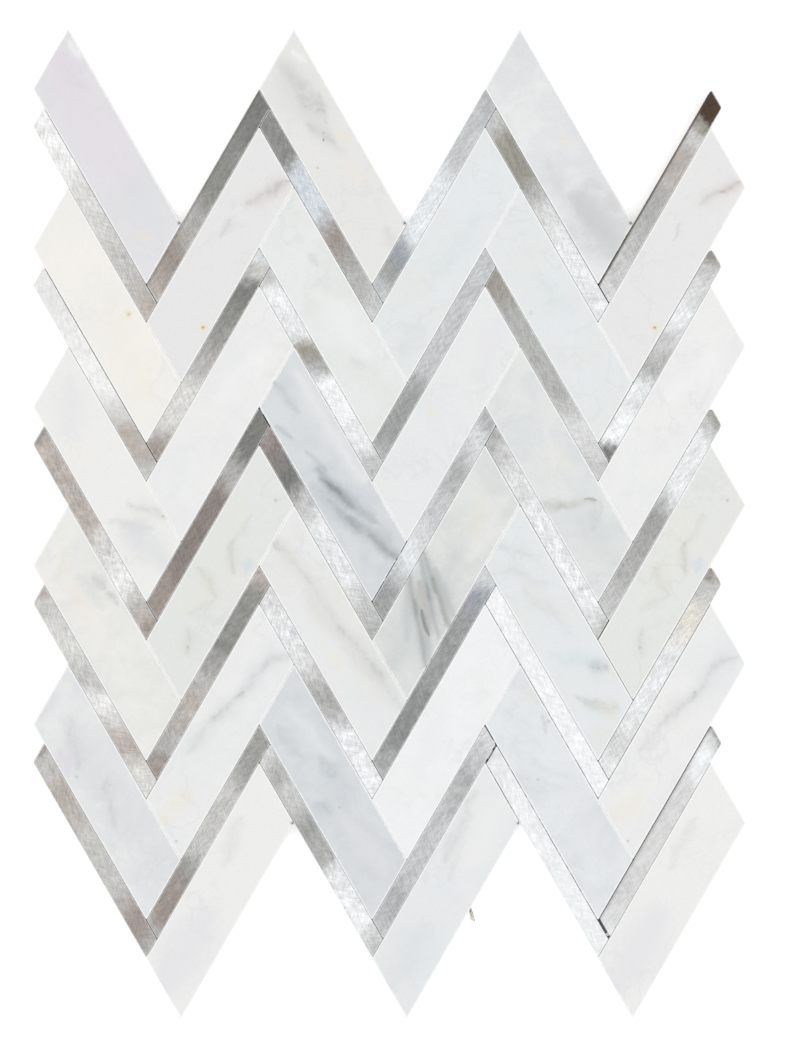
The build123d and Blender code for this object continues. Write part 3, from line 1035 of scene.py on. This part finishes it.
def mesh_from(build, name):
    """Turn what bmesh has built into a mesh."""
    mesh = bpy.data.meshes.new(name)
    build.to_mesh(mesh)
    build.free()
    return mesh


def plan_mesh(name, margin):
    """The net's plan less a margin, as a flat face in millimetres."""
    build = bmesh.new()
    build.faces.new([build.verts.new((*corner, 0.0)) for corner in inset(net_corners(), margin)])
    return mesh_from(build, name)


# %% The net tree
YARN_SIDES = 5
YARN_THICKNESS = 0.22


def mesh_line(count, step):
    """Points in a row, with the origin in their middle."""
    start = tuple(-length * (count - 1) / 2 for length in step)
    inputs = {"Count": count, "Start Location": start, "Offset": step}
    return put("GeometryNodeMeshLine", inputs, mode="OFFSET")


def yarns(plan, span, rows, width, upright, sign):
    """The yarns of one direction, cut to the plan."""
    along, beside = (0, NET_PITCH / 2, 0), (NET_PITCH, 0, 0)
    if not upright:
        along, beside = (NET_PITCH / 2, 0, 0), (0, NET_PITCH, 0)
    points = 2 * int(span / NET_PITCH) + 1
    lines = 2 * int(rows / 2 / NET_PITCH) + 1
    thread, places = mesh_line(points, along), mesh_line(lines, beside)
    copies = put("GeometryNodeInstanceOnPoints", {"Points": places, "Instance": thread})
    real = put("GeometryNodeRealizeInstances", {"Geometry": copies})

    position = put("GeometryNodeInputPosition")
    ray = {"Target Geometry": plan, "Source Position": position + (0, 0, 10), "Ray Direction": (0, 0, -1)}
    inside = put("GeometryNodeRaycast", {**ray, "Ray Length": 20.0}, take="Is Hit")
    outside = put("FunctionNodeBooleanMath", {0: inside}, operation="NOT")
    cut = put("GeometryNodeDeleteGeometry", {"Geometry": real, "Selection": outside}, domain="POINT")

    waves = [calc("COSINE", axis * (pi / NET_PITCH)) for axis in split(position)[:2]]
    rise = waves[0] * waves[1] * (sign * YARN_THICKNESS / 2)
    lift = jitter(position, 0.06) * (0.9, 0.9, 0.0) + combined(z=rise + BED / 2)
    curves = put("GeometryNodeMeshToCurve", {"Mesh": moved(cut, lift)})
    level = put("GeometryNodeSetCurveNormal", {"Curve": curves}, mode="Z_UP")
    circle = put("GeometryNodeCurvePrimitiveCircle", {"Resolution": YARN_SIDES, "Radius": 1.0})
    flat = {"Geometry": circle, "Scale": (width / 2, YARN_THICKNESS / 2, 1)}
    section = put("GeometryNodeTransform", flat)
    tube = {"Curve": level, "Profile Curve": section, "Fill Caps": True}
    return put("GeometryNodeCurveToMesh", tube)


@group("Woven net", {"Plan": "Geometry", "Material": "Material"}, {"Mesh": "Geometry"}, "GeometryNodeTree")
def net_tree(g):
    warp = yarns(g["Plan"], SHEET_HEIGHT, SHEET_WIDTH, WARP_WIDTH, True, -1)
    weft = yarns(g["Plan"], SHEET_WIDTH, SHEET_HEIGHT, WEFT_WIDTH, False, 1)
    return [delivered(put("GeometryNodeJoinGeometry", {0: [warp, weft]}), g["Material"])]


# %% Glass net material


def net_material():
    material = new_material("glass_net")
    place = millimetres()
    fibres = strokes(place, 0.0, 6.0, 7.0) * strokes(place, pi / 2, 6.0, 7.0)
    coat = noise(place, 0.8, 3.0, 0.6)
    color = mixed(mapped(coat, 0.35, 0.7), tone(233, 232, 224), tone(214, 212, 202))
    color = mixed(mapped(fibres, 0.15, 0.35, 0.0, 0.3), color, tone(248, 248, 244))
    surface(color, mapped(coat, 0.3, 0.7, 0.38, 0.6), fibres, strength=0.4, relief=0.08)
    return material


# %% Weave and lay the net
net = grow("woven_net", net_tree, {"Material": net_material()}, plan_mesh("net_plan", NET_MARGIN))
heights = [vertex.co.z / MM for vertex in net.data.vertices]
print(f"the net lies from {min(heights):.2f} to {max(heights):.2f} mm,", triangle_count(net), "triangles")

# %% [markdown]
# ## Glue
#
# The net is stuck on with dabs of white glue, which spread flat under it and close the joints from
# below. They follow no pattern but keep apart, which is what Distribute Points on Faces does in its
# Poisson mode. Each dab is a low disc with a slanting side, pressed flat, and noise has pulled it out
# of round.

# %% The glue tree
GLUE_REACH = 4.6  # millimetres, the middle radius of a dab
GLUE_HEIGHT = 0.37
GLUE_RAGGED = 4.5  # millimetres between the furthest pulls in and out
DAB_SIDES = 20
DAB_SLANT = 0.88  # the radius of the upper face, as a share
GLUE_INPUTS = {
    "Plan": "Geometry", "Apart": 7.5, "Reach": 4.0, "Height": 0.4, "Seed": 3, "Material": "Material",
}


@group("Glue dabs", GLUE_INPUTS, {"Mesh": "Geometry"}, "GeometryNodeTree")
def glue_tree(g):
    spacing = {"Mesh": g["Plan"], "Distance Min": g["Apart"], "Density Max": 0.1, "Seed": g["Seed"]}
    places = put("GeometryNodeDistributePointsOnFaces", spacing, distribute_method="POISSON")
    cone = {"Vertices": DAB_SIDES, "Radius Top": DAB_SLANT, "Radius Bottom": 1.0, "Depth": 1.0}
    disc = put("GeometryNodeMeshCone", cone, fill_type="NGON")
    across, deep = (
        put("FunctionNodeRandomValue", {"Min": 0.75, "Max": most, "Seed": seed}, 1, data_type="FLOAT")
        for most, seed in ((1.25, g["Seed"]), (1.0, 8))
    )
    reach = g["Reach"] * across
    size = combined(reach, reach * 0.85, g["Height"] * deep)
    face_down = {"Min": (pi, 0, 0), "Max": (pi, 0, 2 * pi), "Seed": g["Seed"]}
    turn = put("FunctionNodeRandomValue", face_down, data_type="FLOAT_VECTOR")
    laid = {"Points": places, "Instance": disc, "Rotation": turn, "Scale": size}
    dabs = put("GeometryNodeInstanceOnPoints", laid)
    real = put("GeometryNodeRealizeInstances", {"Geometry": dabs})
    ragged = jitter(put("GeometryNodeInputPosition"), 0.24, 0.0) * (GLUE_RAGGED, GLUE_RAGGED, 0.0)
    return [delivered(moved(real, ragged + (0, 0, BED - 0.01)), g["Material"])]


def glue_material():
    material = new_material("white_glue")
    milky = noise(millimetres(), 0.5, 3.0, 0.6)
    color = mixed(mapped(milky, 0.35, 0.65), tone(226, 224, 214), tone(205, 203, 194))
    surface(color, mapped(milky, 0.3, 0.7, 0.25, 0.5), milky, strength=0.4, relief=0.2)
    return material


# %% Spread the glue
GLUE_MARGIN = 9.0
values = {"Material": glue_material(), "Reach": GLUE_REACH, "Height": GLUE_HEIGHT}
glue = grow("glue_dabs", glue_tree, values, plan_mesh("glue_plan", GLUE_MARGIN))
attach(glue, "root")
dabs = len(glue.data.polygons) // (DAB_SIDES + 2)
print("the glue has", len(glue.data.polygons), "faces in", dabs, "dabs")

# %% [markdown]
# ## A loose thread
#
# One yarn was cut long, and its end hangs out from under the middle of the lower edge as a small tuft
# of beige filaments. Each filament is a short curve, and together they spread a little at the tip.

# %% The tuft
TUFT = (31.7, -157.5), (34.2, -162.4), (35.4, -168.0)  # its middle line, in millimetres
FILAMENTS = 6
FILAMENT_WIDTH = 0.36
TUFT_STEPS = 8
TUFT_SIDEWAYS = Vector((0.93, -0.37))  # square to the middle line


def tuft_mesh():
    """Thin three-sided tubes along fanned copies of the middle line."""
    build = bmesh.new()
    start, bend, end = map(Vector, TUFT)
    for number in range(FILAMENTS):
        fan = (number - (FILAMENTS - 1) / 2) / FILAMENTS
        rings = []
        for step in range(TUFT_STEPS + 1):
            share = step / TUFT_STEPS
            on_line = start.lerp(bend, share).lerp(bend.lerp(end, share), share)
            spread = TUFT_SIDEWAYS * fan * (0.8 + 1.6 * share * share)
            sway = TUFT_SIDEWAYS * 0.18 * sin(7.0 * share + 2.1 * number)
            x, y = on_line + spread + sway
            height = 0.35 + 0.22 * abs(fan) + 0.35 * share * (number % 2)
            radius = FILAMENT_WIDTH / 2 * (1.0 - 0.45 * share)
            angles = (pi * sixth / 6 for sixth in (3, 7, 11))
            corners = [(radius * cos(angle), radius * sin(angle)) for angle in angles]
            rings.append([build.verts.new(((x + a) * MM, y * MM, (height + b) * MM)) for a, b in corners])
        for before, after in zip(rings, rings[1:]):
            for corner in range(3):
                following = (corner + 1) % 3
                build.faces.new((before[corner], before[following], after[following], after[corner]))
        build.faces.new(rings[0])
        build.faces.new(rings[-1])
    bmesh.ops.recalc_face_normals(build, faces=build.faces)
    return mesh_from(build, "loose_thread")


def tuft_material():
    material = new_material("loose_thread")
    soiled = noise(millimetres(), 0.7, 3.0, 0.6)
    color = mixed(mapped(soiled, 0.4, 0.6), tone(204, 190, 172), tone(164, 147, 130))
    surface(color, mapped(soiled, 0.3, 0.7, 0.5, 0.75))
    return material


tuft = add_object("loose_thread", tuft_mesh())
tuft.data.materials.append(tuft_material())
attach(tuft, "root")

# %% [markdown]
# ## Camera and light
#
# The picture is taken from straight above through a long lens, so that no side of a chip shows. The
# light is plain: an even white world, a large lamp overhead for the metal to mirror, and a weaker
# one from the right that gives each arris a light and a dark side. Together they light a level
# surface at about strength one, so that a tone renders as it is written.

# %% Camera
LENS = 120.0
SENSOR = 36.0
VIEW_HEIGHT = 0.4405  # metres of the tile's top that the frame is high
VIEW_MIDDLE = (0.0044, -0.0002)
scene = bpy.context.scene
camera_data = bpy.data.cameras.new("camera")
camera_data.lens = LENS
camera_data.sensor_width = SENSOR
camera_data.sensor_fit = "AUTO"
camera = add_object("camera", camera_data)
camera.location = (*VIEW_MIDDLE, (BED + THICKNESS) * MM + VIEW_HEIGHT * LENS / SENSOR)
scene.camera = camera
print(f"the camera stands {camera.location.z:.2f} m above the floor")

# %% Lamps and world
WORLD_LEVEL = 0.84  # to everything but the camera, which sees pure white


def lamp(name, place, size, radiance):
    """A square lamp turned to the middle of the sheet."""
    data = bpy.data.lights.new(name, "AREA")
    data.size = size
    data.energy = radiance * pi * size * size
    obj = add_object(name, data)
    obj.location = place
    obj.rotation_mode = "QUATERNION"
    obj.rotation_quaternion = (-Vector(place)).to_track_quat("-Z", "Y")


lamp("overhead", (0.0, 0.0, 1.9), 2.2, 0.38)
lamp("right", (1.2, 0.5, 0.9), 0.8, 1.0)

scene.world = bpy.data.worlds.new("studio")
scene.world.use_nodes = True
Value.tree = scene.world.node_tree
Value.tree.nodes.clear()
seen = calc("MAXIMUM", *put("ShaderNodeLightPath", take=("Is Camera Ray", "Is Transmission Ray")))
strength = mapped(seen, 0.0, 1.0, WORLD_LEVEL, 1.0, smooth=False)
light = put("ShaderNodeBackground", {"Color": WHITE, "Strength": strength})
put("ShaderNodeOutputWorld", {"Surface": light}, take=None)
scene.view_settings.view_transform = "Standard"

# %% [markdown]
# The floor is white paper. To the camera and in mirrors it adds a little light of its own, which
# makes it pure white where nothing shades it and leaves the soft shadow beside the sheet.

# %% Floor
FLOOR_SIZE = 3.0
PAPER = (0.86, 0.86, 0.86, 1.0)
PAPER_GLOW = 0.42
build = bmesh.new()
bmesh.ops.create_grid(build, x_segments=1, y_segments=1, size=FLOOR_SIZE)
floor = add_object("floor", mesh_from(build, "floor"))
paper = new_material("white_paper")
rays = ("Is Camera Ray", "Is Glossy Ray", "Is Transmission Ray")
first, second, third = put("ShaderNodeLightPath", take=rays)
seen = calc("MAXIMUM", calc("MAXIMUM", first, second), third)
plain = put("ShaderNodeBsdfDiffuse", {"Color": PAPER})
glow = put("ShaderNodeEmission", {"Color": WHITE, "Strength": seen * PAPER_GLOW})
both = put("ShaderNodeAddShader", {0: plain, 1: glow})
put("ShaderNodeOutputMaterial", {"Surface": both}, take=None)
floor.data.materials.append(paper)
floor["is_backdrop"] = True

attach(net, "root")
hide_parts("mesh_warp_yarns", "mesh_weft_yarns")

# %% Drawn size
low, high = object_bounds()
print("drawn size", [round((b - a) / MM, 1) for a, b in zip(low, high)], "mm")
